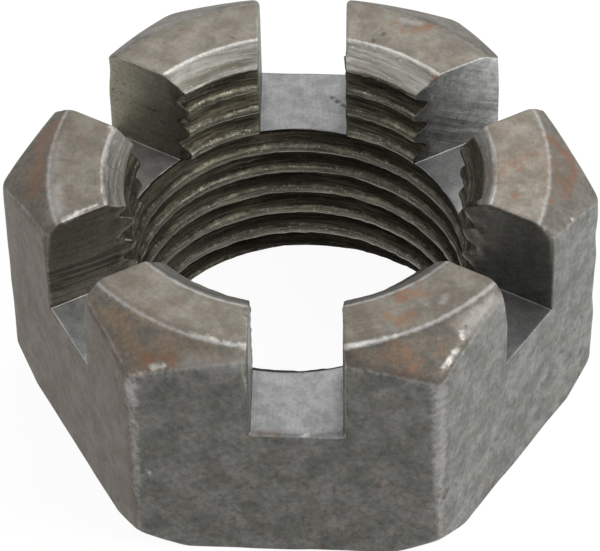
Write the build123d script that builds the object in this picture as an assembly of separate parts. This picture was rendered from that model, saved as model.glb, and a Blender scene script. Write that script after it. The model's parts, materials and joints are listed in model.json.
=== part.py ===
"""Slotted hexagon nut (castle nut) for a 7/8 in - 14 thread, as one solid.

Frame: millimetres, +Z up. The origin is the centre of the bore on the bearing
face, and +Z runs along the bore to the slotted end. One flat faces -Y.

The hexagon is cut from rounded hexagon bar. Both ends are turned, the hole is
bored and countersunk, and three straight cuts across the top leave six teeth.
The thread itself is cosmetic and isn't cut here: the bore is the thread's
minor diameter.
"""

import os
from math import radians, tan

from build123d import *

# Hexagon bar
ACROSS_FLATS = 31.75
HEIGHT = 17.0
CORNER_RADIUS = 0.45  # rounding along the bar's six corners

# Turned ends: each chamfer starts on a circle of the end face
TOP_FACE_DIAMETER = 30.4
TOP_CHAMFER_ANGLE = 34.0  # fall of the cone below the end face
BEARING_FACE_DIAMETER = 34.0
BEARING_CHAMFER_ANGLE = 45.0

# Hole
MINOR_DIAMETER = 20.3
TOP_COUNTERSINK_DIAMETER = 23.9
TOP_COUNTERSINK_ANGLE = 120.0  # whole angle of the cone
BEARING_COUNTERSINK_DIAMETER = 20.7
BEARING_COUNTERSINK_ANGLE = 90.0  # whole angle of the cone

# Cotter pin slots
SLOT_WIDTH = 5.56
SLOT_DEPTH = 6.8
CROSS_CUTS = 3  # each cut runs right across and makes two slots
SLOT_TURN = 2.0  # the cuts stand a little round from the middle of the flats

SPARE = 1.0  # how far cutting tools run past the metal

parts = {}


def hexagon_bar():
    """The bar stock, with a flat facing -Y and a corner on +X."""
    outline = RegularPolygon(ACROSS_FLATS / 2, 6, major_radius=False)
    outline = fillet(outline.vertices(), CORNER_RADIUS)
    return extrude(outline, HEIGHT)


def turned_form():
    """What the lathe leaves: both chamfers, the bore and its countersinks, revolved."""
    minor = MINOR_DIAMETER / 2
    top_sink = TOP_COUNTERSINK_DIAMETER / 2
    top_sink_depth = (top_sink - minor) / tan(radians(TOP_COUNTERSINK_ANGLE / 2))
    low_sink = BEARING_COUNTERSINK_DIAMETER / 2
    low_sink_depth = (low_sink - minor) / tan(radians(BEARING_COUNTERSINK_ANGLE / 2))

    outside = ACROSS_FLATS  # clear of the bar's corners
    top_face = TOP_FACE_DIAMETER / 2
    top_fall = (outside - top_face) * tan(radians(TOP_CHAMFER_ANGLE))
    bearing_face = BEARING_FACE_DIAMETER / 2
    bearing_rise = (outside - bearing_face) * tan(radians(BEARING_CHAMFER_ANGLE))

    # The two chamfer cones meet outside the bar, so each is a form of its own
    above = Polyline(
        (low_sink, 0),
        (outside, 0),
        (outside, HEIGHT - top_fall),
        (top_face, HEIGHT),
        (top_sink, HEIGHT),
        (minor, HEIGHT - top_sink_depth),
        (minor, low_sink_depth),
        close=True,
    )
    below = Polyline(
        (0, 0),
        (bearing_face, 0),
        (outside, bearing_rise),
        (outside, HEIGHT + SPARE),
        (0, HEIGHT + SPARE),
        close=True,
    )
    return turned(above) & turned(below)


def turned(outline):
    """A half section, drawn as radius and height, revolved about the bore's axis."""
    return revolve(make_face(Plane.XZ * outline), Axis.Z)


def cross_cuts():
    """Three milled cuts across the top, through the middle of opposite flats."""
    length = 2 * (ACROSS_FLATS + SPARE)
    cut = Box(
        SLOT_WIDTH,
        length,
        SLOT_DEPTH + SPARE,
        align=(Align.CENTER, Align.CENTER, Align.MIN),
    )
    floor = Pos(0, 0, HEIGHT - SLOT_DEPTH)
    return [
        floor * Rot(0, 0, SLOT_TURN + number * 180 / CROSS_CUTS) * cut
        for number in range(CROSS_CUTS)
    ]


def castle_nut():
    nut = hexagon_bar() & turned_form()
    for cut in cross_cuts():
        nut -= cut
    return nut


parts["castle_nut"] = castle_nut()

os.makedirs("parts", exist_ok=True)
for name, shape in parts.items():
    shape.label = name
    export_step(shape, f"parts/{name}.step")
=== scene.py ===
"""Castle nut: the looks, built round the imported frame.

The nut's surface is one closed mesh. Its rows and columns follow the thread's helix,
the slots and the six flats, in millimetres, and every vertex is then pulled onto a
rounded, worn form of the same sizes as the frame's solid.
"""

import json

import bmesh
import bpy
import numpy as np
from mathutils import Matrix, Vector
from mathutils.geometry import delaunay_2d_cdt


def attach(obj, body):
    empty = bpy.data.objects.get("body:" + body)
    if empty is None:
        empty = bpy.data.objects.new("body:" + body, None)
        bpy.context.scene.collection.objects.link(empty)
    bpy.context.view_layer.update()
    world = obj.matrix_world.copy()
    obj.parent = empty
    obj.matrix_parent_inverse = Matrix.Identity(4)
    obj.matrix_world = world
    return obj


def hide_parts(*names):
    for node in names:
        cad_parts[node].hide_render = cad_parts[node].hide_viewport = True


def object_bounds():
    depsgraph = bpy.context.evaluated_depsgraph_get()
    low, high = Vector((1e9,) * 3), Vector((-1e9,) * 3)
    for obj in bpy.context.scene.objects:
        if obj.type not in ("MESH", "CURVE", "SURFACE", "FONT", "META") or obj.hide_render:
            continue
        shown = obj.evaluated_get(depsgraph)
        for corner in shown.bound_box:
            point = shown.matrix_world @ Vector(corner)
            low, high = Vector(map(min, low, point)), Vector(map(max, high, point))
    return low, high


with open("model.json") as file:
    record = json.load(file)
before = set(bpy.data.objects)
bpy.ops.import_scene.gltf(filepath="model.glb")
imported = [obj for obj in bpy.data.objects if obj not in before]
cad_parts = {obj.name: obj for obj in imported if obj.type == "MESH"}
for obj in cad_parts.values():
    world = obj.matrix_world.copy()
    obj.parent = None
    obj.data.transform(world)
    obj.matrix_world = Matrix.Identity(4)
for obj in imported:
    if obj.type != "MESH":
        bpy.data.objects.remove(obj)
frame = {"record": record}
cad_low, cad_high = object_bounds()

MM = 0.001
TURN = 2 * np.pi

# Sizes of the nut in millimetres, from the frame where it holds them
MOUNTS = {mount["name"]: mount for mount in frame["record"]["mounts"]}
HALF_FLATS = cad_high[1] / MM
HEIGHT = cad_high[2] / MM
MINOR_RADIUS = MOUNTS["thread"]["dims"]["r_mm"]
FLOOR = MOUNTS["cotter_slot_front_back"]["pos_m"][2] / MM
PITCH = 25.4 / 14
THREAD_DEPTH = 0.97
CREST_HALF = 0.2  # half the flat on the thread's crest
ROOT_HALF = 0.12
THREAD_PHASE = -0.383  # where a crest crosses the X axis, as a share of the pitch
TOP_SINK_RADIUS, TOP_SINK_ANGLE = 11.95, np.radians(60)
LOW_SINK_RADIUS = 10.35
TOP_RADIUS, TOP_CONE = 15.2, np.radians(34)
ARC_SHIFT = 0.28  # how much further out the chamfer starts at the back
BEARING_RADIUS, BEARING_CONE = 17.0, np.radians(45)
SIDES = 6
FLAT_ANGLES = np.radians(-90 + 60 * np.arange(SIDES))

# The three cuts as milled, each a little off: degrees from the middle of its flat, millimetres to
# the side of the axis, and half its width
CUT_TURNS = (2.21, 2.41, 1.93)
CUT_SHIFTS = (0.02, 0.29, 0.29)
CUT_HALVES = (2.76, 2.68, 2.68)
SLOT_ANGLES = FLAT_ANGLES + np.radians(CUT_TURNS * 2)
SLOT_SHIFTS = np.concatenate([CUT_SHIFTS, np.negative(CUT_SHIFTS)])
SLOT_HALVES = np.array(CUT_HALVES * 2)

# Rounding of worn edges
CORNER_WEAR = 0.5
ARC_WEAR = 0.25
SHOULDER_WEAR = 0.45  # from the chamfer down to the flats
RIM_WEAR = 0.1
SLOT_WEAR = 0.09
MOUTH_WEAR = 0.42  # the front slot's edges on its flat
# Where each tooth's slot walls run out through the chamfer, from the tooth on +X round
HORN_WEAR = np.array([0.25, 0.3, 0.3, 0.25, 0.7, 0.7])

# Radius of the ragged step in each tooth's countersink, from the tooth on +X round
STEP_RADII = np.array([11.5, 11.25, 11.7, 11.7, 11.5, 11.4])
STEP_DEPTH = 0.09
# The end of each tooth whose thread is smeared full of burr: going round, 1 is the far end and
# -1 the near one
BURR_SIDES = np.array([-1, 0, 1, 1, 0, 0])

# Dents and lumps of torn metal: x, y, z and radius
DENTS = [
    (3, -12.7, 17.1, 0.32),
    (-7.76, 7.32, 10.9, 0.35),
    (-2.4, -12.2, 17.1, 0.3),
]
LUMPS = [
    (2.4, 10.7, 16.2, 0.26),
    (2.75, 9.95, 14.6, 0.22),
    (-10.4, -3.2, 14.5, 0.25),
    (-10.2, -2.9, 13.5, 0.3),
]

# Marks chosen one by one: x, y, z of one end and of the other in millimetres, radius, strength
RUST = [
    (-15.1, 3.7, 16.7, -15.4, 2.9, 16.7, 0.5, 0.8),
    (-15.8, 2.5, 16.5, -16, 1.8, 16.4, 0.6, 0.9),
    (-15.8, 0.3, 16.6, -16.1, -0.8, 16.4, 0.7, 0.9),
    (-15.7, -2, 16.6, -16.1, -2.3, 16.3, 0.6, 1),
    (-15.5, 3.2, 16.6, -16, -2, 16.4, 1.1, 0.55),
    (-12.1, -0.2, 17, -12.1, -0.3, 17, 0.25, 0.9),
    (-4.3, 14.5, 17, -4.2, 14.5, 17, 0.3, 0.8),
    (-8.1, 12.2, 17, -8, 12.2, 17, 0.25, 0.8),
    (6.8, 12.7, 17, 7.6, 13.3, 16.9, 0.6, 1),
    (5.1, 13.2, 17, 5.4, 13.4, 17, 0.4, 0.75),
    (4.9, 11.7, 17, 5, 12, 17, 0.35, 0.7),
    (7.1, 11, 17, 7.1, 11.1, 17, 0.25, 0.7),
    (5.8, 12.5, 17, 5.9, 12.6, 17, 0.4, 0.6),
    (3.6, 14.9, 16.9, 4.4, 14.6, 16.9, 0.25, 0.7),
    (7.8, 8.4, 16.7, 8.1, 8.6, 16.9, 0.3, 1),
    (8.9, 9, 14.9, 9, 9, 14.8, 0.25, 0.8),
    (12.6, 0.9, 17, 13.4, 0.5, 17, 0.6, 0.55),
    (13.2, -1.9, 17, 13.2, -2.1, 17, 0.4, 0.7),
    (12.7, 3.5, 17, 12.8, 3, 17, 0.4, 0.45),
    (12.2, 0.3, 17, 13.8, 1.4, 17, 1.3, 0.35),
    (15.2, 3.4, 16.8, 16.4, 2.2, 16.1, 0.6, 1.2),
    (15.8, 2.9, 16.5, 16.7, 1.6, 16, 0.5, 1.1),
    (16.6, 1.1, 16, 16.2, -0.6, 16.3, 0.5, 0.9),
    (15.7, -0.2, 16.6, 16, 0.2, 16.4, 0.6, 0.8),
    (15.2, -2.2, 16.9, 15.3, -2, 16.8, 0.35, 0.8),
    (15.5, 1, 16.7, 16, -1, 16.4, 1, 0.5),
    (6.4, -10.8, 17, 6.7, -10.3, 17, 0.5, 1.1),
    (6.6, -10.6, 17, 7.9, -10.3, 17, 0.5, 0.8),
    (7.5, -9.5, 17, 7.6, -9.4, 17, 0.3, 0.8),
    (5.8, -12.2, 17, 6.1, -12.4, 17, 0.4, 1.1),
    (7.2, -12.1, 17, 6.6, -12.8, 17, 0.6, 0.75),
    (6.5, -14.5, 16.5, 7.4, -15.2, 15.9, 1.1, 0.6),
    (9.1, -13.8, 16.1, 9, -14, 16, 0.4, 0.7),
    (5.5, -15.1, 16.4, 5.6, -15.2, 16.3, 0.5, 0.5),
    (11.8, -11.2, 10.8, 11.7, -11.4, 10.5, 0.16, 1.2),
    (11.3, -12.2, 14.6, 11.3, -12.2, 14.5, 0.2, 0.8),
    (-8.4, -14.7, 15.8, -7.9, -15.1, 15.7, 0.7, 1),
    (-7.2, -15.1, 16, -6.6, -15.2, 16, 0.6, 0.7),
    (-9.9, -13, 16.2, -9, -14.2, 16, 0.9, 0.45),
    (-8.1, -12.2, 17, -8.1, -12.2, 17, 0.2, 0.6),
    (-6, -13.4, 17, -5.9, -13.5, 17, 0.2, 0.6),
    (9.1, -15.9, 7.6, 9.1, -15.9, 7.5, 0.25, 1.1),
    (9, -15.9, 3.2, 9, -15.9, 3.1, 0.3, 0.9),
    (-4.2, -15.9, 7.6, -3.9, -15.9, 7.1, 0.2, 0.9),
    (-1.4, -15.5, 10.2, -0.3, -15.6, 10.2, 0.35, 0.6),
    (-12.4, -9.6, 11, -12.3, -9.7, 10.9, 0.2, 0.9),
]
# Painted highlights: glints laid near white where the edges catch the light
GLINTS = [
    (-13.7, -5.1, 17, -13, -4.3, 17, 0.4, 0.95),
    (-12.9, -4.2, 17, -11.9, -3.6, 17, 0.22, 0.7),
    (-11.7, 3.2, 17, -11.5, 2.9, 17, 0.3, 0.6),
    (16.6, -2.6, 15.9, 16.6, -2.7, 15.9, 0.22, 1),
    (14.9, -4.4, 16.7, 14.9, -4.5, 16.6, 0.22, 0.95),
    (10.3, 2.3, 10.1, 10.3, 2.3, 10.1, 0.3, 0.8),
    (10.2, -12.7, 16.3, 10.3, -13, 16.1, 0.3, 0.9),
    (9.3, -14.8, 15.5, 9.9, -13.7, 15.8, 0.32, 0.95),
    (3, -14.9, 17, 4.6, -14.4, 17, 0.3, 1.1),
    (4.6, -14.4, 17, 6.4, -13.7, 17, 0.24, 0.8),
    (-5.6, -14, 17, -4.7, -14.3, 17, 0.24, 0.7),
    (-4.4, -14.3, 17, -4, -14.5, 17, 0.32, 1),
    (-3.5, -14.7, 17, -3.1, -14.8, 17, 0.3, 1),
    (-2.7, -14.8, 17, -2.4, -14.8, 17, 0.3, 1),
    (-7.8, -15.5, 15.5, -7, -15.5, 15.7, 0.34, 0.9),
    (-9.1, -15.7, 15, -8.2, -15.7, 15.3, 0.28, 0.7),
    (0.8, -15.7, 10.2, 1.3, -15.6, 10.2, 0.2, 1),
    (5.9, -15.9, 4.1, 5.9, -15.9, 4.1, 0.2, 0.9),
    (-8.3, -15.9, 6.9, -8.3, -15.9, 6.5, 0.22, 0.7),
    (-8.4, -15.9, 5.4, -8.4, -15.9, 5.2, 0.22, 0.7),
]
DARKS = [
    (-12.4, 9.8, 13.8, -9.4, 8.3, 13.6, 0.16, 0.9),
    (-9.6, 8.4, 13, -8.6, 7.8, 12.8, 0.14, 0.7),
    (4.6, 12.2, 17, 4.7, 12.3, 17, 0.32, 1),
    (4.1, 11.7, 17, 3.9, 11.2, 16.9, 0.28, 0.9),
    (-8.3, 12.8, 16.9, -8.2, 12.8, 16.9, 0.25, 0.7),
    (-10.2, 11.5, 16.9, -10.1, 11.6, 16.9, 0.25, 0.8),
    (-4.8, 11.6, 17, -4.7, 11.6, 17, 0.2, 0.8),
    (-4.9, -15.9, 8.6, -3.8, -15.9, 6.9, 0.6, 0.45),
    (-6.5, -15.9, 13.9, -6.2, -15.9, 13.5, 0.5, 0.4),
    (-5.8, -15.9, 2.8, -5.7, -15.9, 2.6, 0.45, 0.6),
    (2.8, -15.9, 5.9, 2.9, -15.9, 5.4, 0.35, 0.6),
    (-2.2, -15.9, 4.3, -1.9, -15.9, 4.1, 0.45, 0.5),
    (-0.6, -15.9, 9.8, 1, -15.9, 9.7, 0.4, 0.6),
    (-2.6, -11.6, 10.6, -2.6, -11.2, 10.2, 0.35, 1.2),
    (10.4, -12.4, 16.4, 10.4, -12.3, 16.4, 0.25, 0.7),
    (1.3, 13.6, 10.2, 2.3, 12.7, 10.2, 0.26, 1.3),
]
PALES = [
    (-2.6, -15.4, 16.2, -5.6, -15.5, 16, 0.9, 0.9),
    (5.7, -15.9, 14.4, 5.5, -15.9, 14.1, 0.5, 0.8),
    (6.7, -15.9, 12.9, 6.6, -15.9, 12.6, 0.4, 0.6),
    (-0.7, -15.9, 6.3, -0.7, -15.9, 5.9, 0.35, 0.7),
    (-14.9, 1.6, 17, -15, -1.6, 17, 0.6, 0.7),
    (-14.6, -2.2, 17, -14.3, -4.6, 17, 0.8, 0.9),
    (-13.2, -8.9, 8.7, -11, -12.6, 6.2, 0.12, 0.5),
    (-14, -7.6, 3.9, -13.1, -9.1, 2.9, 0.12, 0.5),
    (9.2, -10.5, 17, 9, -11, 17, 0.4, 0.8),
    (14.9, -4.6, 16.3, 15.8, -5, 15.6, 0.5, 0.7),
    (-9.6, 12.6, 16.7, -7.2, 13.9, 16.8, 0.7, 0.7),
    (5.8, 13.6, 17, 7, 13.4, 17, 0.5, 0.8),
    (10.6, -12.2, 16.4, 12.4, -10, 16.5, 1.2, 0.9),
    (12, -11.6, 15.6, 13.4, -9.6, 15.6, 0.8, 0.6),
]

# Tone and warmth of the flats and of the slot floors from the front one round, and of each
# tooth's top and chamfer from the tooth on +X round
FLAT_TONES = [(0.97, 0.1), (1.5, 0), (1, 0.2), (0.85, 0.3), (0.95, 0.3), (0.79, 0.9)]
FLOOR_TONES = [(0.76, 0.05), (0.67, 0.1), (1.05, 0.1), (0.69, 0.05), (1, 0.25), (1.28, 0.05)]
FACE_TONES = [(1.04, 0.35), (0.95, 0.2), (0.97, 0.15), (0.84, 0.4), (0.91, 0.4), (0.75, 0.35)]
CHAMFER_TONES = [(1.05, 0.1), (0.9, 0.2), (1, 0.1), (0.85, 0.4), (1.15, 0.6), (0.7, 0.35)]
# Tone of each tooth's thread and of its countersink
THREAD_TONES = [(0.8, 0.6), (1, 1.2), (1, 0.82), (0.65, 0.62), (0.6, 0.5), (0.6, 0.5)]
# Slot walls, two to a slot from the front slot round, the clockwise one first: tone, warmth, how
# the tone grows outwards and upwards for each millimetre as painted light and shade, and how
# strongly the cutter's lines show
PLAIN_WALL = (0.8, 0.2, 0, 0, 0.8)
WALL_TONES = {
    0: (1.25, 0.3, 0, 0, 0),
    1: (1.25, 0.3, 0, 0, 0),
    3: (0.8, 0.4, -0.04, 0.02, 0.2),
    5: (1.35, 0, 0.22, 0.07, 0.7),
    8: (1.2, 0.75, 0.11, 0, 0.1),
    10: (0.92, 0.75, 0, -0.06, 0.9),
}
# Where the growing tones of a wall have their own value: along the slot, and up
TONE_ALONG, TONE_HEIGHT, LOWEST_TONE = 13, 13.5, 0.2

# Centre of the slotting cutter along a slot as it left each of these walls, and its radius
PLAIN_CUTTER_PLACE, CUTTER_PLACES = -4, {5: 36, 8: 9, 10: 11}
CUTTER_RADIUS = 38.0

# Angles round the bore, and the tone of the thread there below the slots
BORE_TONES = (
    (0, 60, 90, 120, 180, 240, 300, 360),
    (0.75, 0.8, 0.85, 0.8, 0.5, 0.6, 0.6, 0.75),
)

# How strongly each tooth's edges are rubbed bare and painted with a highlight, and its rim with a
# painted glint, from the tooth on +X round
ARC_RUB_AND_HIGHLIGHT = np.array([0.6, 0.3, 0.3, 0.65, 0.65, 0.75])
HORN_RUB_AND_HIGHLIGHT = np.array([0.5, 0.9, 0.8, 0.6, 0.4, 0.6])
CORNER_RUB_AND_HIGHLIGHT = np.array([0.35, 0.3, 0.3, 0.35, 1.05, 0.95])
RIM_GLINT = np.array([0.2, 0.9, 0.75, 0.3, 0, 0.0])
# Widths of the rubbed bands with their painted highlight, of the painted glints and of the painted
# highlight on the thread's crest edges, and how strongly the shoulder and the foot are rubbed and
# highlit
ARC_WIDTH = 0.15
RIM_WIDTH = 0.16
HORN_WIDTH = 0.14
SHOULDER_WIDTH, SHOULDER_RUB_AND_HIGHLIGHT = 0.25, 0.35
FOOT_WIDTH, FOOT_RUB_AND_HIGHLIGHT = 0.25, 0.5
GLINT_WIDTH = 0.22
LIP_HIGHLIGHT_WIDTH = 0.16
CORNER_WIDTHS = np.array([0.15, 0.15, 0.15, 0.15, 0.2, 0.26])

# Zones of the surface, which are also its material slots
BAR, FACE, CHAMFER, SLOT, WALL, THREAD, BEARING = range(7)


# Whole numbers that stir a cell's place and seed into what looks like chance
CELL_STIR = np.array([374761393, 668265263, 2147483647])
SEED_STIR, LAST_STIR = 974634777, 1274126177


# ---------------------------------------------------------------- noise

def lattice(cell, seed):
    """A number from 0 to 1 for each whole-numbered cell of space, the same on every run."""
    h = (cell * CELL_STIR).sum(axis=-1) + seed * SEED_STIR
    h = (h ^ (h >> 13)) * LAST_STIR
    return ((h ^ (h >> 16)) & 0xFFFFFF) / 0xFFFFFF


def noise(points, size, seed=0):
    """Smooth noise from 0 to 1 whose lumps are about this size, in the points' own unit."""
    p = np.asarray(points, float) / size
    cell = np.floor(p).astype(np.int64)
    w = p - cell
    w = w * w * (3 - 2 * w)
    total = 0
    for corner in np.ndindex(2, 2, 2):
        weight = np.prod(np.where(corner, w, 1 - w), axis=-1)
        total = total + weight * lattice(cell + np.array(corner), seed)
    return total


def smooth_step(low, high, value):
    """0 up to the low value, 1 from the high one on."""
    x = np.clip((value - low) / (high - low), 0, 1)
    return x * x * (3 - 2 * x)


# ---------------------------------------------------------------- the form

def polar(p):
    """Distance of each point from the axis, and its angle round it."""
    return np.hypot(p[:, 0], p[:, 1]), np.arctan2(p[:, 1], p[:, 0])


def sector(angle):
    """Which sixth of the turn an angle is nearest to."""
    return np.round(angle / (TURN / SIDES)).astype(int) % SIDES


def crest_offset(angle, z):
    """Distance along the axis from the nearest crest of the thread, negative below it."""
    turns = z / PITCH - angle / TURN - THREAD_PHASE
    return (turns - np.round(turns)) * PITCH


def sink_radius(z):
    """Radius of the top countersink's cone at this height."""
    return TOP_SINK_RADIUS - (HEIGHT - z) * np.tan(TOP_SINK_ANGLE)


def thread_radius(angle, z):
    """Right-hand thread: a flat crest, straight flanks and a narrow root, softly joined."""
    flank = PITCH / 2 - CREST_HALF - ROOT_HALF
    x = (np.abs(crest_offset(angle, z)) - CREST_HALF) / flank
    soft = 0.1
    rise = 0.5 * (1 + np.sqrt(x**2 + soft**2) - np.sqrt((x - 1) ** 2 + soft**2))
    return MINOR_RADIUS + THREAD_DEPTH * rise


def bore_radius(angle, z):
    """The thread, cut away by the countersinks at both ends."""
    return np.maximum(thread_radius(angle, z), np.maximum(sink_radius(z), LOW_SINK_RADIUS - z))


def torn_bore(p, r, angle):
    """The bore with its crests torn a little and a ragged step in each tooth's countersink."""
    z = p[:, 2]
    ragged = noise(p, 0.45, 11) + 0.5 * noise(p, 0.2, 12) - 0.75
    swell = noise(p, 2.2, 13) - 0.5
    tooth = sector(angle)
    fall = (TOP_SINK_RADIUS - STEP_RADII[tooth]) / np.tan(TOP_SINK_ANGLE)
    step = smooth_step(0, 0.08, HEIGHT - fall + 0.1 * ragged - z) * smooth_step(FLOOR, 16.0, z)
    radius = bore_radius(angle, z - 0.06 * swell)
    near_wall = smooth_step(-0.7, -0.15, np.max(list(cuts(p)), axis=0))
    burred = BURR_SIDES[tooth] * np.sin(angle - tooth * TURN / SIDES) > 0
    fill = 0.8 * near_wall * burred
    fill *= smooth_step(FLOOR, FLOOR + 0.3, z) * smooth_step(0.25, 0.6, noise(p, 0.6, 14))
    groove = np.minimum(thread_radius(angle, z), radius) - MINOR_RADIUS - 0.15
    radius = radius - fill * np.maximum(0, groove)
    return radius + 0.09 * ragged + 0.05 * swell + STEP_DEPTH * step


def flat_radius(angle):
    """Where a line at this angle from the axis meets the hexagon."""
    step = TURN / SIDES
    local = (angle - FLAT_ANGLES[0] + step / 2) % step - step / 2
    return HALF_FLATS / np.cos(local)


def cuts(p):
    """How far inside the walls of each cross cut a point is, negative outside them."""
    for angle, shift, half in zip(SLOT_ANGLES, SLOT_SHIFTS, CUT_HALVES):
        yield half - np.abs(p[:, 1] * np.cos(angle) - p[:, 0] * np.sin(angle) - shift)


def arc_radius(angle):
    """Where the top's chamfer starts: it isn't quite true with the bore."""
    return TOP_RADIUS + ARC_SHIFT * np.maximum(0, np.sin(angle))


def top_cone(p):
    """Signed distance to the cone of the top's chamfer."""
    r, angle = polar(p)
    return (r - arc_radius(angle)) * np.sin(TOP_CONE) + (p[:, 2] - HEIGHT) * np.cos(TOP_CONE)


def low_cone(p):
    """Signed distance to the cone of the bearing face's chamfer."""
    r, _ = polar(p)
    return (r - BEARING_RADIUS) * np.sin(BEARING_CONE) - p[:, 2] * np.cos(BEARING_CONE)


def flat_planes(p):
    """Signed distance to each of the six flats."""
    return [p[:, 0] * np.cos(a) + p[:, 1] * np.sin(a) - HALF_FLATS for a in FLAT_ANGLES]


def round_max(parts, radius):
    """Intersection of forms given as signed distances, its edges rounded off."""
    raised = np.stack(np.broadcast_arrays(*parts)) + radius
    inside = np.minimum(raised.max(axis=0), 0)
    return inside + np.sqrt((np.maximum(raised, 0) ** 2).sum(axis=0)) - radius


def worn_form(p):
    """Signed distance, in millimetres, to the worn nut: negative inside the metal."""
    _, y, z = p.T
    r, angle = polar(p)
    wear = 0.55 + 0.9 * noise(p, 1.7, 3)
    bar = round_max(flat_planes(p), CORNER_WEAR * wear)
    top = round_max([z - HEIGHT, top_cone(p)], ARC_WEAR * wear)
    low = round_max([-z, low_cone(p)], RIM_WEAR * wear)
    shoulder = SHOULDER_WEAR * (0.25 + 0.75 * smooth_step(2, -6, y))
    outside = round_max([round_max([bar, top], shoulder * wear), low], 2 * RIM_WEAR * wear)
    bore = (torn_bore(p, r, angle) - r) * 0.7
    metal = round_max([outside, bore], RIM_WEAR * wear)
    tooth = sector(angle)
    horn = HORN_WEAR[tooth] * smooth_step(14.6, 15.9, r) * smooth_step(13.5, 16.0, z)
    mouth = MOUTH_WEAR * smooth_step(14.9, 15.8, -y)
    torn = 0.16 * (noise(p, 0.4, 21) - 0.35)
    torn *= smooth_step(12.3, 11.2, r) * smooth_step(FLOOR, FLOOR + 0.6, z)
    for inside in cuts(p):
        cut = np.minimum(inside - torn, z - FLOOR)
        metal = round_max([metal, cut], (SLOT_WEAR + horn + mouth) * wear)
    for *centre, radius in DENTS:
        metal = round_max([metal, radius - np.linalg.norm(p - centre, axis=1)], 0.06)
    for *centre, radius in LUMPS:
        metal = -round_max([-metal, radius - np.linalg.norm(p - centre, axis=1)], 0.06)
    return metal


def slope(form, p):
    """Gradient of a form at each point, by central differences."""
    step = 0.004
    shifts = step * np.eye(3)
    return np.stack([(form(p + s) - form(p - s)) / (2 * step) for s in shifts], axis=1)


# ---------------------------------------------------------------- rows and columns

def spread(length, count, near=(0.07, 0.18, 0.36)):
    """Places from 0 to each length, closer together near both ends. Rows by columns."""
    length = np.atleast_1d(length).astype(float)
    ends = np.array(near)[:, None] * np.minimum(1, length / (4 * near[-1]))
    middle = np.linspace(0, 1, count)[:, None] * (length - 2 * ends[-1]) + ends[-1]
    zero = np.zeros((1, len(length)))
    return np.concatenate([zero, ends[:-1], middle, (length - ends[:-1])[::-1], zero + length])


def slot_side(slot, lateral, radius):
    """Angle, at a distance from the axis, of a line this far to the left of a slot's middle."""
    return SLOT_ANGLES[slot] + np.arcsin((SLOT_SHIFTS[slot] + lateral) / radius)


def tooth_span(slot, radius):
    """Angles of the two walls of the tooth that follows a slot."""
    following = (slot + 1) % SIDES
    start = slot_side(slot, SLOT_HALVES[slot], radius)
    stop = slot_side(following, -SLOT_HALVES[following], radius)
    return start, start + (stop - start) % TURN


class Columns:
    """Upright lines round the nut: across each slot, its two walls, then across the tooth."""

    across_slot = 15
    across_tooth = 40

    def __init__(self):
        slot, lateral, share = [], [], []
        for number in range(SIDES):
            half = SLOT_HALVES[number]
            places = spread(2 * half, self.across_slot, (0.1, 0.28))[:, 0] - half
            shares = self.tooth_shares(number)
            slot += [number] * (len(places) + len(shares))
            lateral += list(places) + [0] * len(shares)
            share += [np.nan] * len(places) + list(shares)
        self.slot, self.lateral, self.share = map(np.array, (slot, lateral, share))
        self.on_tooth = ~np.isnan(self.share)
        self.share = np.nan_to_num(self.share)
        at_wall = np.abs(np.abs(self.lateral) - SLOT_HALVES[self.slot]) < 1e-9
        self.is_wall = ~self.on_tooth & at_wall
        self.count = len(self.lateral)
        following = np.roll(self.on_tooth, -1)
        self.tooth_pairs = self.on_tooth | following
        self.slot_pairs = ~self.tooth_pairs
        self.all_pairs = np.ones(self.count, bool)
        self.outer = self.meet(flat_radius)

    def tooth_shares(self, number):
        """Shares of the way from wall to wall, closer together there and at the bar's corner."""
        start, stop = tooth_span(number, HALF_FLATS / np.cos(TURN / 12))
        corner = (FLAT_ANGLES[number] + TURN / 12 - start) / (stop - start)
        width = (stop - start) * HALF_FLATS
        near = np.array([0.1, 0.25, 0.45, 0.75]) / width
        fixed = np.concatenate([near, 1 - near, [corner], corner - near[:3], corner + near[:3]])
        even = np.linspace(0, 1, self.across_tooth + 1)[1:-1]
        clear = np.abs(even[:, None] - fixed).min(axis=1) > 0.45 / self.across_tooth
        inside = (even > near[-1]) & (even < 1 - near[-1])
        return np.sort(np.concatenate([fixed, even[clear & inside]]))

    def angle(self, radius):
        """Angle of each column at a distance from the axis: slot columns stay parallel."""
        start, stop = tooth_span(self.slot, radius)
        in_slot = slot_side(self.slot, self.lateral, radius)
        return np.where(self.on_tooth, start + self.share * (stop - start), in_slot)

    def meet(self, radius_at):
        """Distance from the axis at which each column meets a surface given by angle."""
        radius = np.full(self.count, HALF_FLATS)
        for _ in range(12):
            radius = radius_at(self.angle(radius))
        return radius

    def at(self, radius, z):
        radius, z = np.broadcast_arrays(radius, z)
        angle = self.angle(radius)
        return np.stack([radius * np.cos(angle), radius * np.sin(angle), z], axis=-1)

    def on_bore(self, z):
        """Points on the bore's surface at these heights, rows by columns."""
        radius = np.full(z.shape, MINOR_RADIUS)
        for _ in range(8):
            radius = bore_radius(self.angle(radius), z)
        return self.at(radius, z)


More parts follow.
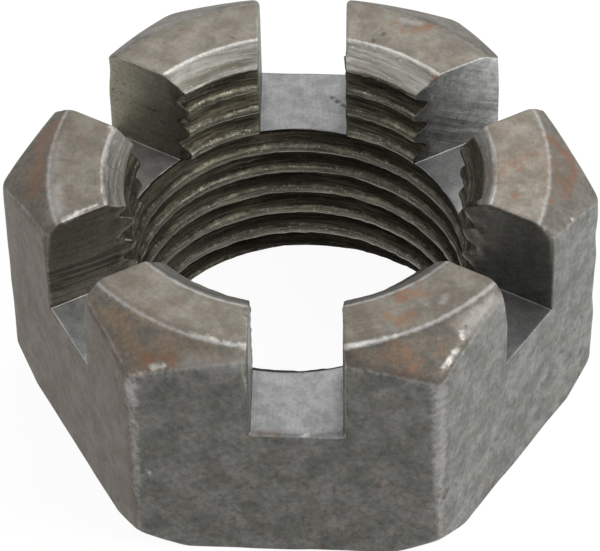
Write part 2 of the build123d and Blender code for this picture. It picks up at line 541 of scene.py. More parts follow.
class Surface:
    """Points and faces of the nut, gathered patch by patch."""

    def __init__(self):
        self.points, self.faces, self.zones = [], [], []
        self.count = 0

    def add_points(self, points):
        first = self.count
        self.points.append(points.reshape(-1, 3))
        self.count += len(self.points[-1])
        return first

    def grid(self, points, zone, pairs, seam=0):
        """Quads over rows by columns. seam is how many rows the last column is shifted by."""
        rows, columns = points.shape[:2]
        index = self.add_points(points) + np.arange(rows * columns).reshape(rows, columns)
        for column in np.flatnonzero(pairs):
            here = index[:, column]
            beside = index[:, (column + 1) % columns]
            if column == columns - 1:
                beside = beside[np.minimum(np.arange(rows) + seam, rows - 1)]
            quads = np.stack([here[:-1], beside[:-1], beside[1:], here[1:]], axis=1)
            self.faces += quads.tolist()
            self.zones += [zone] * len(quads)

    def wall(self, rim, slot_angle, lateral):
        """A flat slot wall inside its rim, in triangles."""
        along = np.array([np.cos(slot_angle), np.sin(slot_angle)])
        side = np.array([-along[1], along[0]])
        flat = np.stack([rim[:, :2] @ along, rim[:, 2]], axis=1)
        inner = wall_points(flat)
        loop = [Vector(v) for v in np.concatenate([flat, inner])]
        found = delaunay_2d_cdt(loop, [], [list(range(len(flat)))], 1, 1e-6)
        places = np.array([v[:] for v in found[0]])
        points = np.empty((len(places), 3))
        points[:, :2] = places[:, :1] * along + lateral * side
        points[:, 2] = places[:, 1]
        for place, origins in enumerate(found[3]):
            if origins and origins[0] < len(rim):
                points[place] = rim[origins[0]]
        first = self.add_points(points)
        self.faces += [[first + v for v in face] for face in found[2]]
        self.zones += [WALL] * len(found[2])


def wall_points(rim):
    """Points inside a flat outline: two rings close to its edge, and an even fill."""
    after = np.roll(rim, -1, axis=0)

    def to_rim(points):
        run = after - rim
        way = points[:, None] - rim
        share = np.clip((way * run).sum(-1) / np.maximum((run**2).sum(-1), 1e-12), 0, 1)
        return np.linalg.norm(way - share[..., None] * run, axis=-1).min(axis=1)

    def inside(points):
        px, pz = points[:, :1], points[:, 1:]
        spans = (rim[:, 1] > pz) != (after[:, 1] > pz)
        rise = np.where(after[:, 1] == rim[:, 1], 1e-12, after[:, 1] - rim[:, 1])
        crossing = rim[:, 0] + (pz - rim[:, 1]) / rise * (after[:, 0] - rim[:, 0])
        return (spans & (px < crossing)).sum(axis=1) % 2 == 1

    found = np.empty((0, 2))
    low, high = rim.min(axis=0), rim.max(axis=0)
    for gap, spacing in ((0.1, 0.13), (0.28, 0.24), (0.52, 0.36)):
        across, up = (np.arange(low[i] + spacing / 2, high[i], spacing) for i in (0, 1))
        lattice_points = np.stack(np.meshgrid(across, up), axis=-1).reshape(-1, 2)
        lattice_points = lattice_points[inside(lattice_points)]
        reach = to_rim(lattice_points)
        far = np.inf if gap > 0.5 else gap + spacing * 0.8
        found = np.concatenate([found, lattice_points[(reach > gap) & (reach < far)]])
    thinned = []
    for point in found:
        if not thinned or np.linalg.norm(np.array(thinned) - point, axis=1).min() > 0.11:
            thinned.append(point)
    return np.array(thinned)


def helical_rows(columns):
    """Heights of rows that follow the thread, and how many rows there are to a turn."""
    flank = CREST_HALF + (PITCH / 2 - CREST_HALF) * np.array([0.15, 0.32, 0.49, 0.66, 0.83])
    crest = CREST_HALF * np.array([-1, -0.5, 0, 0.5, 1])
    steps = np.concatenate([-flank[::-1], crest, flank, [PITCH / 2]])
    turns = np.arange(-2, int(HEIGHT / PITCH) + 3)
    heights = (turns[:, None] * PITCH + steps).reshape(-1, 1)
    angle = columns.angle(MINOR_RADIUS)
    return heights + PITCH * (angle / TURN + THREAD_PHASE), len(steps)


def sharp_surface():
    """The whole surface with sharp edges, row by row."""
    columns = Columns()
    surface = Surface()
    outer = columns.outer
    bevel_foot = np.maximum(0, (outer - BEARING_RADIUS) * np.tan(BEARING_CONE))
    bearing_edge = np.minimum(outer, BEARING_RADIUS)
    arc = columns.meet(arc_radius)
    shoulder = HEIGHT - (outer - arc) * np.tan(TOP_CONE)

    heights, seam = helical_rows(columns)
    lower = columns.on_bore(np.clip(heights, 0, FLOOR))
    upper = columns.on_bore(np.clip(heights, FLOOR, HEIGHT))
    surface.grid(lower, THREAD, columns.all_pairs, seam)
    surface.grid(upper, THREAD, columns.tooth_pairs, seam)
    bore_foot = np.hypot(*np.moveaxis(lower[0, :, :2], -1, 0))
    bore_floor = np.hypot(*np.moveaxis(lower[-1, :, :2], -1, 0))

    face_rows = columns.at(TOP_SINK_RADIUS + spread(arc - TOP_SINK_RADIUS, 14), HEIGHT)
    chamfer_radius = arc + spread(outer - arc, 10)
    chamfer_rows = columns.at(chamfer_radius, HEIGHT - (chamfer_radius - arc) * np.tan(TOP_CONE))
    upper_rows = columns.at(outer, shoulder - spread(shoulder - FLOOR, 16))
    lower_rows = columns.at(outer, FLOOR - spread(FLOOR - bevel_foot, 30))
    rim_radius = outer - spread(outer - bearing_edge, 2, (0.1, 0.3))
    rim_height = np.maximum(0, (rim_radius - BEARING_RADIUS) * np.tan(BEARING_CONE))
    rim_rows = columns.at(rim_radius, np.where(outer > BEARING_RADIUS, rim_height, 0))
    bearing_rows = columns.at(bearing_edge - spread(bearing_edge - bore_foot, 14), 0.0)
    floor_rows = columns.at(outer - spread(outer - bore_floor, 16), FLOOR)

    for rows, zone in ((face_rows, FACE), (chamfer_rows, CHAMFER), (upper_rows, BAR)):
        surface.grid(rows, zone, columns.tooth_pairs)
    for rows, zone in ((lower_rows, BAR), (rim_rows, BEARING), (bearing_rows, BEARING)):
        surface.grid(rows, zone, columns.all_pairs)
    surface.grid(floor_rows, SLOT, columns.slot_pairs)

    for column in np.flatnonzero(columns.is_wall):
        rim = np.concatenate(
            [rows[:, column] for rows in (upper, face_rows, chamfer_rows, upper_rows, floor_rows)]
        )
        moved = np.linalg.norm(rim - np.roll(rim, 1, axis=0), axis=1) > 1e-6
        slot = columns.slot[column]
        surface.wall(rim[moved], SLOT_ANGLES[slot], SLOT_SHIFTS[slot] + columns.lateral[column])
    return surface


def nut_mesh():
    """The closed mesh, welded, worn and turned into metres."""
    surface = sharp_surface()
    mesh = bpy.data.meshes.new("castle_nut_worn")
    mesh.from_pydata(np.concatenate(surface.points).tolist(), [], surface.faces)
    mesh.polygons.foreach_set("material_index", surface.zones)
    work = bmesh.new()
    work.from_mesh(mesh)
    bmesh.ops.remove_doubles(work, verts=work.verts, dist=1e-5)
    bmesh.ops.recalc_face_normals(work, faces=work.faces)
    loose = [v for v in work.verts if not v.link_faces]
    bmesh.ops.delete(work, geom=loose, context="VERTS")
    work.to_mesh(mesh)
    work.free()

    p = vertex_places(mesh)
    for _ in range(4):
        away = worn_form(p)
        normal = slope(worn_form, p)
        size = np.maximum((normal**2).sum(axis=1), 0.3)
        p = p - normal * (away / size)[:, None]
    p = np.clip(p, np.array(cad_low) / MM, np.array(cad_high) / MM)
    mesh.vertices.foreach_set("co", (p * MM).ravel())
    mesh.update()
    return mesh


def vertex_places(mesh):
    places = np.empty((len(mesh.vertices), 3))
    mesh.vertices.foreach_get("co", places.ravel())
    return places


# ---------------------------------------------------------------- what the materials read

def rubbed(p):
    """How near each point is to an edge that is rubbed bare and painted with a highlight: 1 on it,
    falling to 0 and below.
    """
    z = p[:, 2]
    r, angle = polar(p)
    tooth = sector(angle)
    bar, cone = np.max(flat_planes(p), axis=0), top_cone(p)
    slot = np.max([np.minimum(inside, z - FLOOR) for inside in cuts(p)], axis=0)
    corner = HALF_FLATS / np.cos(TURN / 12) - CORNER_WEAR * 0.15 - r
    corner_width = CORNER_WIDTHS[tooth] * np.maximum(0.6, 1 + 0.05 * (z - 8))
    arc = ARC_RUB_AND_HIGHLIGHT[tooth] * (1 - np.abs(z - HEIGHT - cone) / ARC_WIDTH)
    shoulder = SHOULDER_RUB_AND_HIGHLIGHT * (1 - np.abs(cone - bar) / SHOULDER_WIDTH)
    found = [
        np.where(z > HEIGHT - 0.4, arc, -1),
        np.where(bar > -0.5, shoulder, -1),
        1 - np.hypot(z - HEIGHT, bore_radius(angle, z) - r) / RIM_WIDTH,
        HORN_RUB_AND_HIGHLIGHT[tooth] * (1 - np.hypot(z - HEIGHT, slot) / HORN_WIDTH),
        FOOT_RUB_AND_HIGHLIGHT * (1 - np.hypot(-z, low_cone(p)) / FOOT_WIDTH),
        CORNER_RUB_AND_HIGHLIGHT[tooth] * (1 - np.abs(corner) / corner_width),
    ]
    return np.clip(np.max(found, axis=0), -1, 1)


def slot_corner_distance(p):
    """How far each point is from the inner corner between a slot's wall and floor."""
    return np.min([np.hypot(inside, p[:, 2] - FLOOR) for inside in cuts(p)], axis=0)


def marked(p, places):
    """The strongest mark at each point: its strength on its middle line, 0 at its radius."""
    found = np.full(len(p), -1.0)
    for *ends, radius, strength in places:
        start, end = ends[:3], ends[3:]
        run = np.subtract(end, start)
        share = np.clip((p - start) @ run / max(run @ run, 1e-9), 0, 1)
        distance = np.linalg.norm(p - start - share[:, None] * run, axis=1)
        found = np.maximum(found, strength * (1 - distance / radius))
    return found


def store(mesh, name, values, domain="POINT"):
    """Keep numbers on the mesh under a name, one or three for each point or face corner."""
    kind = "FLOAT_VECTOR" if values.ndim == 2 else "FLOAT"
    layer = mesh.attributes.new(name, kind, domain)
    field = "vector" if values.ndim == 2 else "value"
    layer.data.foreach_set(field, values.astype(np.float32).ravel())


def whole_numbers(items, name):
    """One whole number from each item of a mesh's list."""
    values = np.empty(len(items), int)
    items.foreach_get(name, values)
    return values


def store_point_marks(mesh):
    """What the materials need to know of each point: wear, marks and its place on the thread."""
    p = vertex_places(mesh) / MM
    _, y, z = p.T
    r, angle = polar(p)
    # Painted highlight: a glint along each tooth's countersink rim, kept with the listed glints
    rim = 1 - np.hypot(z - HEIGHT, r - TOP_SINK_RADIUS) / GLINT_WIDTH
    clean = 4 * (y < -8)  # the front slot's corners get no painted shade
    # Edges rubbed bare, with a painted highlight along them
    store(mesh, "rub", rubbed(p))
    store(mesh, "slot_corner", np.clip(slot_corner_distance(p) + clean, 0, 4))
    store(mesh, "depth", np.clip((r - MINOR_RADIUS) / THREAD_DEPTH, -0.2, 3))
    # Painted highlight along the lower edge of each thread crest
    store(mesh, "lip", 1 - np.abs(crest_offset(angle, z) + CREST_HALF) / LIP_HIGHLIGHT_WIDTH)
    store(mesh, "sunk", np.clip((sink_radius(z) - thread_radius(angle, z)) / 0.2, -2, 2))
    store(mesh, "glint", np.maximum(RIM_GLINT[sector(angle)] * rim, marked(p, GLINTS)))
    for name, places in (("rust", RUST), ("dark", DARKS), ("pale", PALES)):
        store(mesh, name, marked(p, places))


def store_corner_marks(mesh):
    """What the materials need to know of each face: its grain, tone and warmth."""
    p = vertex_places(mesh) / MM
    corners = whole_numbers(mesh.loops, "vertex_index")
    sides = whole_numbers(mesh.polygons, "loop_total")
    zone = whole_numbers(mesh.polygons, "material_index")
    owner = np.repeat(np.arange(len(sides)), sides)
    middle = np.stack([np.bincount(owner, p[corners, i]) / sides for i in range(3)], axis=1)
    q, zone, middle = p[corners], zone[owner], middle[owner]
    x, y, z = q.T
    r, angle = polar(q)
    _, middle_angle = polar(middle)
    flat = sector(middle_angle - FLAT_ANGLES[0])
    slot = sector(middle_angle - SLOT_ANGLES[0])
    tooth = sector(middle_angle)

    facing, slotted = FLAT_ANGLES[flat], SLOT_ANGLES[slot]
    beside = y * np.cos(facing) - x * np.sin(facing)
    along = x * np.cos(slotted) + y * np.sin(slotted)
    lateral = y * np.cos(slotted) - x * np.sin(slotted)
    across = middle[:, 1] * np.cos(slotted) - middle[:, 0] * np.sin(slotted)
    wall = slot * 2 + (across > SLOT_SHIFTS[slot])
    walls = range(2 * SIDES)
    places = np.array([CUTTER_PLACES.get(number, PLAIN_CUTTER_PLACE) for number in walls])
    cutter = np.hypot(along - places[wall], z - FLOOR - CUTTER_RADIUS)
    crest = np.round(z / PITCH - angle / TURN - THREAD_PHASE)

    # The third measure, and 9.1 for each turn, only keep the patterns of neighbours apart
    grain = np.stack([r, x, y], axis=1)
    grains = {
        BAR: (beside, z, 7.3 * flat),
        SLOT: (lateral, along, 7.3 * slot),
        WALL: (cutter, along, 7.3 * wall),
        THREAD: (crest_offset(angle, z) + 9.1 * crest, x, y),
    }
    for kind, parts in grains.items():
        chosen = zone == kind
        grain[chosen] = np.stack(parts, axis=1)[chosen]

    tone, warm, lined = np.ones(len(q)), np.zeros(len(q)), np.zeros(len(q))
    tables = {
        BAR: (flat, FLAT_TONES),
        SLOT: (slot, FLOOR_TONES),
        FACE: (tooth, FACE_TONES),
        CHAMFER: (tooth, CHAMFER_TONES),
        THREAD: (tooth, THREAD_TONES),
    }
    for kind, (which, table) in tables.items():
        chosen = zone == kind
        tone[chosen], warm[chosen] = np.array(table)[which[chosen]].T
    rows = np.array([WALL_TONES.get(number, PLAIN_WALL) for number in walls])
    base, warmth, outwards, upwards, lines = rows[wall].T
    # Painted light and shade: the wall's tone changes along it and up it
    grown = base + outwards * (along - TONE_ALONG) + upwards * (z - TONE_HEIGHT)
    on_wall = zone == WALL
    tone[on_wall] = np.maximum(grown, LOWEST_TONE)[on_wall]
    warm[on_wall], lined[on_wall] = warmth[on_wall], lines[on_wall]
    in_bore = (zone == THREAD) & (z < FLOOR)
    tone[in_bore] = np.interp(np.degrees(angle[in_bore]) % 360, *BORE_TONES)
    for name, values in (("grain", grain), ("tone", tone), ("warm", warm), ("lined", lined)):
        store(mesh, name, values, "CORNER")


# ---------------------------------------------------------------- materials

def plug(tree, socket, value):
    """Link another socket to this one or write a value into it. A colour needs no alpha."""
    if isinstance(value, bpy.types.NodeSocket):
        tree.links.new(value, socket)
    elif socket.type == "RGBA" and len(value) == 3:
        socket.default_value = (*value, 1)
    else:
        socket.default_value = value


def node(tree, kind, *inputs, **settings):
    """A new node with these settings, and its inputs plugged in their order."""
    made = tree.nodes.new("ShaderNode" + kind)
    for name, value in settings.items():
        setattr(made, name, value)
    for socket, value in zip(made.inputs, inputs):
        plug(tree, socket, value)
    return made


class Paint:
    """A material whose nodes are wired by short calls. Lengths are in millimetres."""

    def __init__(self, name):
        self.material = bpy.data.materials.new(name)
        self.material.use_nodes = True
        self.tree = self.material.node_tree
        place = node(self.tree, "TexCoord").outputs["Object"]
        self.place = self.vector_math("SCALE", place, scale=1 / MM)
        # Turned, so that the noise has no lines along the nut's own planes
        skewed = node(self.tree, "VectorRotate", self.place, rotation_type="EULER_XYZ")
        skewed.inputs["Rotation"].default_value = (0.7, 0.5, 0.3)
        self.skewed = skewed.outputs["Vector"]
        self.grain = self.attribute("grain", "Vector")
        self.color = None  # what is painted so far

    def attribute(self, name, output="Fac"):
        return node(self.tree, "Attribute", attribute_name=name).outputs[output]

    def plus(self, a, b):
        return node(self.tree, "Math", a, b, operation="ADD").outputs[0]

    def times(self, a, b):
        return node(self.tree, "Math", a, b, operation="MULTIPLY").outputs[0]

    def minus(self, a, b):
        return node(self.tree, "Math", a, b, operation="SUBTRACT").outputs[0]

    def vector_math(self, operation, a, b=(0, 0, 0), scale=1.0):
        made = node(self.tree, "VectorMath", a, b, (0, 0, 0), scale, operation=operation)
        return made.outputs["Vector"]

    def noise(self, size, detail=3.0, roughness=0.55, vector=None):
        made = node(self.tree, "TexNoise", vector or self.skewed)
        made.inputs["Scale"].default_value = 1 / size
        made.inputs["Detail"].default_value = detail
        made.inputs["Roughness"].default_value = roughness
        return made.outputs["Fac"]

    def streaks(self, across, along, detail=3.0, roughness=0.6):
        """Noise drawn out along the grain of the cut."""
        stretched = self.vector_math("MULTIPLY", self.grain, (1 / across, 1 / along, 1 / along))
        return self.noise(1.0, detail, roughness, stretched)

    def fit(self, value, low, high, to_low=0.0, to_high=1.0):
        """The value moved smoothly from one range to another and kept within it."""
        ranges = (value, low, high, to_low, to_high)
        return node(self.tree, "MapRange", *ranges, interpolation_type="SMOOTHSTEP").outputs[0]

    def mix(self, a, b, factor):
        made = node(self.tree, "Mix", factor, data_type="RGBA")
        plug(self.tree, made.inputs[6], a)
        plug(self.tree, made.inputs[7], b)
        return made.outputs[2]

    def up(self):
        """Height above the bearing face."""
        return node(self.tree, "SeparateXYZ", self.place).outputs["Z"]

    def ragged(self, noise, spread):
        """Noise spread round zero."""
        return self.times(self.minus(noise, 0.5), spread)

    def broken(self, name, size, spread, low, high):
        """A mark stored on the mesh, its edge broken up by noise of this size."""
        edge = self.ragged(self.noise(size, 5, 0.7), spread)
        return self.fit(self.plus(self.attribute(name), edge), low, high)

    def base(self, dark, light, noise, low=0.36, high=0.64):
        """The first colour, darker where the noise is low."""
        self.color = self.mix(dark, light, self.fit(noise, low, high))

    def lay(self, color, factor):
        """Another colour laid over what is painted so far."""
        self.color = self.mix(self.color, color, factor)

    def dim(self, factor):
        """What is painted made lighter or darker."""
        self.color = self.vector_math("SCALE", self.color, scale=factor)

    def vary(self, noise, amount):
        """What is painted made up to this much lighter and darker by noise."""
        self.dim(self.fit(noise, 0.3, 0.7, 1 - amount, 1 + amount))

    def pitted(self, size=0.16, low=0.7, high=0.78, amount=0.7, shade=(0.045, 0.036, 0.026)):
        """Scattered small dark pits."""
        self.lay(shade, self.fit(self.noise(size, 1, 0.5), low, high, 0, amount))

    def worn(self, amount=1.0):
        """All that was rubbed, chipped, dirtied or rusted, with painted highlights on the rubbed
        edges and painted glints, laid over what is painted.
        """
        pale = self.times(self.broken("pale", 0.5, 1.2, 0, 1.0), 0.55)
        self.lay((0.36, 0.35, 0.33), pale)
        # Edges rubbed bare: pale bare metal and a painted highlight
        rub = self.times(self.broken("rub", 0.4, 1.1, 0.05, 0.85), 0.8 * amount)
        self.lay((0.45, 0.44, 0.425), rub)
        patches = self.fit(self.noise(0.7, 3, 0.6), 0.4, 0.6)
        shade = self.mix((0.24, 0.1, 0.052), (0.18, 0.11, 0.062), patches)
        self.lay(shade, self.times(self.broken("rust", 0.45, 2.0, -0.05, 0.9), 0.72))
        dark = self.times(self.broken("dark", 0.2, 1.9, 0.1, 0.9), 0.8)
        self.lay((0.04, 0.033, 0.025), dark)
        # Painted highlights: the glints
        glint = self.times(self.broken("glint", 0.3, 1.5, 0.1, 1.1), 0.85)
        self.lay((0.72, 0.71, 0.675), glint)

    def finish(self, roughness, height, bump, metallic):
        shader = self.tree.nodes["Principled BSDF"]
        bumps = node(self.tree, "Bump")
        bumps.inputs["Strength"].default_value = 1.0
        bumps.inputs["Distance"].default_value = bump * MM
        plug(self.tree, bumps.inputs["Height"], height)
        values = {
            "Base Color": self.color,
            "Roughness": roughness,
            "Metallic": metallic,
            "Normal": bumps.outputs["Normal"],
        }
        for name, value in values.items():
            plug(self.tree, shader.inputs[name], value)
        return self.material


def bar_flat():
    """Rolled bar under old mill scale: blotched, with brown specks towards the bearing face."""
    paint = Paint("bar_flat")
    blotch, fleck = paint.noise(1.7, 5, 0.6), paint.noise(0.4, 4, 0.7)
    streak, fine = paint.streaks(0.3, 1.8, 4, 0.7), paint.noise(0.12, 2, 0.6)
    browned = paint.fit(paint.noise(0.9, 5, 0.7), 0.5, 0.7, 0, 0.55)
    warm = paint.plus(paint.attribute("warm"), browned)
    paint.base((0.108, 0.112, 0.103), (0.165, 0.166, 0.156), blotch)
    paint.lay((0.158, 0.127, 0.094), warm)
    paint.vary(fleck, 0.24)
    paint.vary(streak, 0.05)
    paint.vary(fine, 0.05)
    paint.dim(paint.attribute("tone"))
    speck = paint.fit(paint.noise(0.5, 3, 0.65), 0.55, 0.68, 0, 0.6)
    paint.lay((0.085, 0.06, 0.034), paint.times(speck, paint.fit(paint.up(), 11, 6)))
    paint.pitted(0.28, 0.69, 0.78, 0.5, (0.05, 0.042, 0.028))
    paint.pitted(0.5, 0.72, 0.79, 0.5, (0.15, 0.07, 0.035))
    paint.worn()
    height = paint.plus(fleck, paint.times(streak, 0.3))
    return paint.finish(paint.fit(blotch, 0.3, 0.7, 0.58, 0.46), height, 0.02, 0.55)


def turned_face():
    """The faced top of the teeth: pinkish grey, faint turning rings, rubbed pale outwards with a
    painted highlight.
    """
    paint = Paint("turned_face")
    ring, blotch = paint.streaks(0.14, 7), paint.noise(1.4, 5, 0.62)
    fleck, warm = paint.noise(0.28, 4, 0.7), paint.fit(paint.noise(1.1, 4, 0.65), 0.42, 0.62)
    paint.base((0.17, 0.153, 0.123), (0.223, 0.204, 0.17), blotch)
    paint.lay((0.19, 0.135, 0.1), paint.times(paint.attribute("warm"), warm))
    paint.vary(ring, 0.05)
    paint.vary(fleck, 0.12)
    paint.dim(paint.attribute("tone"))
    paint.pitted(0.2, 0.73, 0.8, 0.5, (0.07, 0.055, 0.04))
    paint.worn()
    height = paint.plus(fleck, paint.times(ring, 0.4))
    return paint.finish(paint.fit(blotch, 0.3, 0.7, 0.52, 0.42), height, 0.012, 0.55)


def turned_chamfer():
    """The chamfer: browner, with rust creeping from the corner of the bar."""
    paint = Paint("turned_chamfer")
    blotch, fleck = paint.noise(1.3, 6, 0.66), paint.noise(0.32, 4, 0.72)
    paint.base((0.13, 0.122, 0.102), (0.178, 0.168, 0.145), blotch, 0.38, 0.62)
    warm = paint.fit(paint.noise(1.3, 5, 0.65), 0.36, 0.58)
    paint.lay((0.18, 0.122, 0.078), paint.times(paint.attribute("warm"), warm))
    paint.vary(fleck, 0.2)
    paint.dim(paint.attribute("tone"))
    paint.pitted(0.25, 0.7, 0.78, 0.5)
    paint.worn()
    return paint.finish(paint.fit(blotch, 0.3, 0.7, 0.56, 0.46), fleck, 0.02, 0.55)


def slot_floor():
    """The milled floor of a slot: clean grey metal with fine lines and dark specks."""
    paint = Paint("slot_floor")
    line, blotch = paint.streaks(0.1, 2.5, 4, 0.7), paint.noise(1.1, 5, 0.65)
    fleck = paint.noise(0.2, 3, 0.7)
    paint.base((0.24, 0.247, 0.25), (0.35, 0.355, 0.355), blotch)
    paint.lay((0.28, 0.25, 0.21), paint.attribute("warm"))
    paint.vary(line, 0.06)
    paint.vary(fleck, 0.1)
    paint.dim(paint.attribute("tone"))
    paint.pitted(0.18, 0.7, 0.78, 0.7)
    paint.worn(0.5)
    return paint.finish(0.42, line, 0.012, 0.7)


def slot_wall():
    """The milled walls: arcs left by the cutter, darker and browner inwards, with painted light
    and shade across some walls and painted shade along the corner with the floor.
    """
    paint = Paint("slot_wall")
    line, fine = paint.streaks(0.36, 9, 4, 0.75), paint.streaks(0.1, 3, 3, 0.7)
    blotch, fleck = paint.noise(1.0, 5, 0.7), paint.noise(0.22, 3, 0.7)
    lined = paint.times(paint.attribute("lined"), paint.fit(paint.up(), 14.6, 12.6, 0.25, 1))
    paint.base((0.15, 0.152, 0.142), (0.225, 0.228, 0.222), blotch)
    paint.lay((0.146, 0.131, 0.084), paint.attribute("warm"))
    paint.vary(fleck, 0.18)
    grooves = paint.times(paint.times(lined, 0.75), paint.fit(line, 0.56, 0.4))
    paint.dim(paint.minus(1.12, grooves))
    paint.vary(fine, 0.12)
    paint.dim(paint.attribute("tone"))
    paint.pitted(0.17, 0.66, 0.76, 0.75, (0.03, 0.025, 0.018))
    paint.pitted(0.5, 0.68, 0.76, 0.4, (0.12, 0.06, 0.035))
    # Painted shade: the wall darkened near its inner corner with the floor
    corner_shade = paint.plus(paint.attribute("slot_corner"), paint.times(paint.noise(0.4, 4, 0.7), 0.5))
    paint.lay((0.02, 0.018, 0.013), paint.fit(corner_shade, 0.45, 0.2, 0, 0.6))
    paint.worn(0.4)
    relief = paint.plus(paint.times(line, lined), paint.times(fine, 0.4))
    return paint.finish(0.45, relief, 0.03, 0.7)


def cut_thread():
    """The thread: a torn light band with a bright edge at each crest, a painted highlight, and
    oily dark between them that is partly painted shade under the next crest.
    """
    paint = Paint("cut_thread")
    line, fine = paint.streaks(0.2, 7, 5, 0.75), paint.streaks(0.06, 2.5, 3, 0.7)
    torn, chip = paint.streaks(0.12, 0.6, 4, 0.75), paint.noise(0.14, 2, 0.6)
    ragged = paint.ragged(paint.noise(0.5, 5, 0.75), 0.7)
    # Darker towards the root: oily metal, and painted shade under the next crest
    deep_oil_and_shade = paint.fit(paint.plus(paint.attribute("depth"), ragged), 0.0, 0.34)
    light = paint.mix((0.09, 0.084, 0.058), (0.26, 0.25, 0.188), paint.fit(line, 0.36, 0.64))
    light = paint.mix(light, (0.4, 0.39, 0.34), paint.fit(torn, 0.55, 0.75, 0, 0.8))
    dark = paint.mix((0.022, 0.019, 0.011), (0.1, 0.09, 0.06), paint.fit(line, 0.38, 0.7))
    paint.color = paint.mix(light, dark, deep_oil_and_shade)
    paint.vary(fine, 0.55)
    # Painted highlight along the lower edge of each crest
    lip = paint.fit(paint.plus(paint.attribute("lip"), ragged), 0.25, 0.85, 0, 0.75)
    paint.lay((0.6, 0.59, 0.53), lip)
    chipped = paint.times(paint.fit(chip, 0.62, 0.72, 0, 0.85), paint.fit(deep_oil_and_shade, 1, 0, 0.1, 1))
    paint.lay((0.75, 0.74, 0.68), chipped)
    paint.dim(paint.attribute("tone"))
    sink = paint.mix((0.13, 0.118, 0.088), (0.38, 0.372, 0.345), paint.fit(line, 0.3, 0.7))
    sink = paint.mix(sink, (0.75, 0.74, 0.7), paint.fit(torn, 0.58, 0.78, 0, 0.7))
    sink = paint.vector_math("SCALE", sink, scale=paint.attribute("warm"))
    sunk = paint.plus(paint.attribute("sunk"), ragged)
    paint.lay(sink, paint.fit(sunk, -0.2, 0.5))
    paint.worn(0.8)
    rough = paint.fit(deep_oil_and_shade, 0, 1, 0.32, 0.5)
    return paint.finish(rough, paint.plus(line, torn), 0.05, 0.8)


def bearing_face():
    """The face that bears on the washer, rubbed in rings."""
    paint = Paint("bearing_face")
    ring, blotch = paint.streaks(0.1, 8), paint.noise(2, 4, 0.6)
    paint.base((0.17, 0.165, 0.15), (0.27, 0.26, 0.24), blotch, 0.35, 0.65)
    paint.vary(ring, 0.15)
    paint.pitted()
    paint.worn()
    return paint.finish(0.42, ring, 0.012, 0.7)


# ---------------------------------------------------------------- stage

SKY_STRENGTH = 0.35
# Lamps: place and aim in metres, width and height, power in watts
LAMPS = {
    "key": ((0.42, -0.06, 0.34), (0, 0, 0.01), (0.3, 0.3), 1.6),
    "back": ((0.1, 0.4, 0.45), (0, 0, 0.01), (0.4, 0.2), 0.8),
}
FLOOR_REACH, FLOOR_DROP = 2.0, 2e-5
CARD, SHADOWED, GLOW = (0.8, 0.8, 0.8), (0.12, 0.12, 0.12), 0.94
WHITE = (1, 1, 1)


def show(name, data):
    """A new object in the scene."""
    item = bpy.data.objects.new(name, data)
    bpy.context.scene.collection.objects.link(item)
    return item


def lamp(name, place, aim, size, power):
    data = bpy.data.lights.new(name, "AREA")
    data.shape, data.energy = "RECTANGLE", power
    data.size, data.size_y = size
    item = show(name, data)
    item.location = place
    item.rotation_euler = (Vector(aim) - Vector(place)).to_track_quat("-Z", "Y").to_euler()


def seen(tree):
    """1 for rays that show the background: the camera's, reflections and refractions."""
    path = node(tree, "LightPath").outputs
    found = path["Is Camera Ray"]
    for name in ("Is Glossy Ray", "Is Transmission Ray"):
        found = node(tree, "Math", found, path[name], operation="MAXIMUM").outputs[0]
    return found


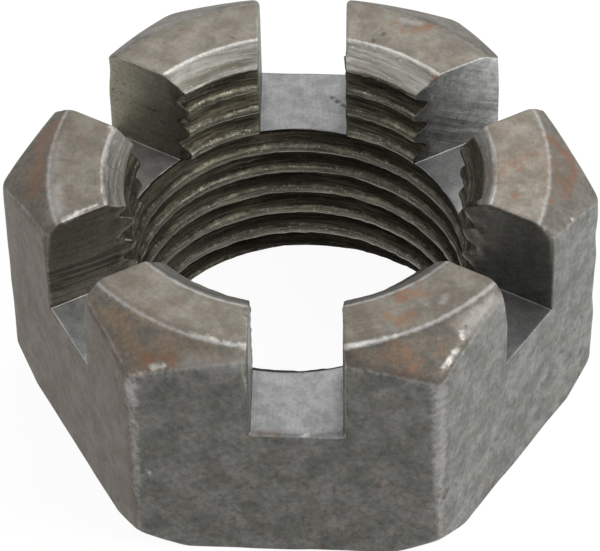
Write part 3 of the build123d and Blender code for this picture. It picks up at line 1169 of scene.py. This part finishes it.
def stage():
    """White all round where it is seen, a soft sky and two lamps to light by, and the floor."""
    world = bpy.data.worlds.new("studio")
    bpy.context.scene.world = world
    world.use_nodes = True
    tree = world.node_tree
    tree.nodes.remove(tree.nodes["Background"])
    light, white = (node(tree, "Background", WHITE, power) for power in (SKY_STRENGTH, 1))
    either = node(tree, "MixShader", seen(tree), light.outputs[0], white.outputs[0])
    plug(tree, tree.nodes["World Output"].inputs["Surface"], either.outputs[0])
    for name, settings in LAMPS.items():
        lamp(name, *settings)

    mesh = bpy.data.meshes.new("floor")
    signs = ((-1, -1), (1, -1), (1, 1), (-1, 1))
    corners = [(x * FLOOR_REACH, y * FLOOR_REACH, -FLOOR_DROP) for x, y in signs]
    mesh.from_pydata(corners, [], [(0, 1, 2, 3)])
    floor = show("floor", mesh)
    mesh.materials.append(floor_paint())


def floor_paint():
    """White where it is seen, with the shadow kept faintly, and plain pale card to the light."""
    material = bpy.data.materials.new("floor")
    material.use_nodes = True
    tree = material.node_tree
    tree.nodes.remove(tree.nodes["Principled BSDF"])
    card, shadow = (node(tree, "BsdfDiffuse", tone).outputs[0] for tone in (CARD, SHADOWED))
    glow = node(tree, "Emission", WHITE, GLOW).outputs[0]
    both = node(tree, "AddShader", shadow, glow).outputs[0]
    either = node(tree, "MixShader", seen(tree), card, both)
    plug(tree, tree.nodes["Material Output"].inputs["Surface"], either.outputs[0])
    return material


def camera():
    """Long lens from the front, a little under halfway up, turned slightly clockwise."""
    azimuth, elevation, roll = np.radians((4.106, 45.48, -1.404))
    target = Vector((-0.083, 0, 7.708)) * MM
    distance = 244.2 * MM
    level = Vector((np.sin(azimuth), -np.cos(azimuth), 0))
    back = level * np.cos(elevation) + Vector((0, 0, np.sin(elevation)))
    right = Vector((np.cos(azimuth), np.sin(azimuth), 0))
    up = back.cross(right)
    tilted_right = right * np.cos(roll) + up * np.sin(roll)
    tilted_up = up * np.cos(roll) - right * np.sin(roll)
    data = bpy.data.cameras.new("camera")
    data.lens, data.sensor_width = 235.43, 36
    data.clip_start, data.clip_end = 0.01, 10
    item = show("camera", data)
    rotation = Matrix((tilted_right, tilted_up, back)).transposed()
    item.matrix_world = Matrix.Translation(target + back * distance) @ rotation.to_4x4()
    bpy.context.scene.camera = item


mesh = nut_mesh()
nut = show("castle_nut_metal", mesh)
store_point_marks(mesh)
store_corner_marks(mesh)
# In the order of the zones
paints = (bar_flat, turned_face, turned_chamfer, slot_floor, slot_wall, cut_thread, bearing_face)
for make in paints:
    mesh.materials.append(make())
mesh.polygons.foreach_set("use_smooth", [True] * len(mesh.polygons))
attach(nut, "root")
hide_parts("castle_nut")
stage()
camera()

bpy.context.scene.view_settings.view_transform = "Standard"
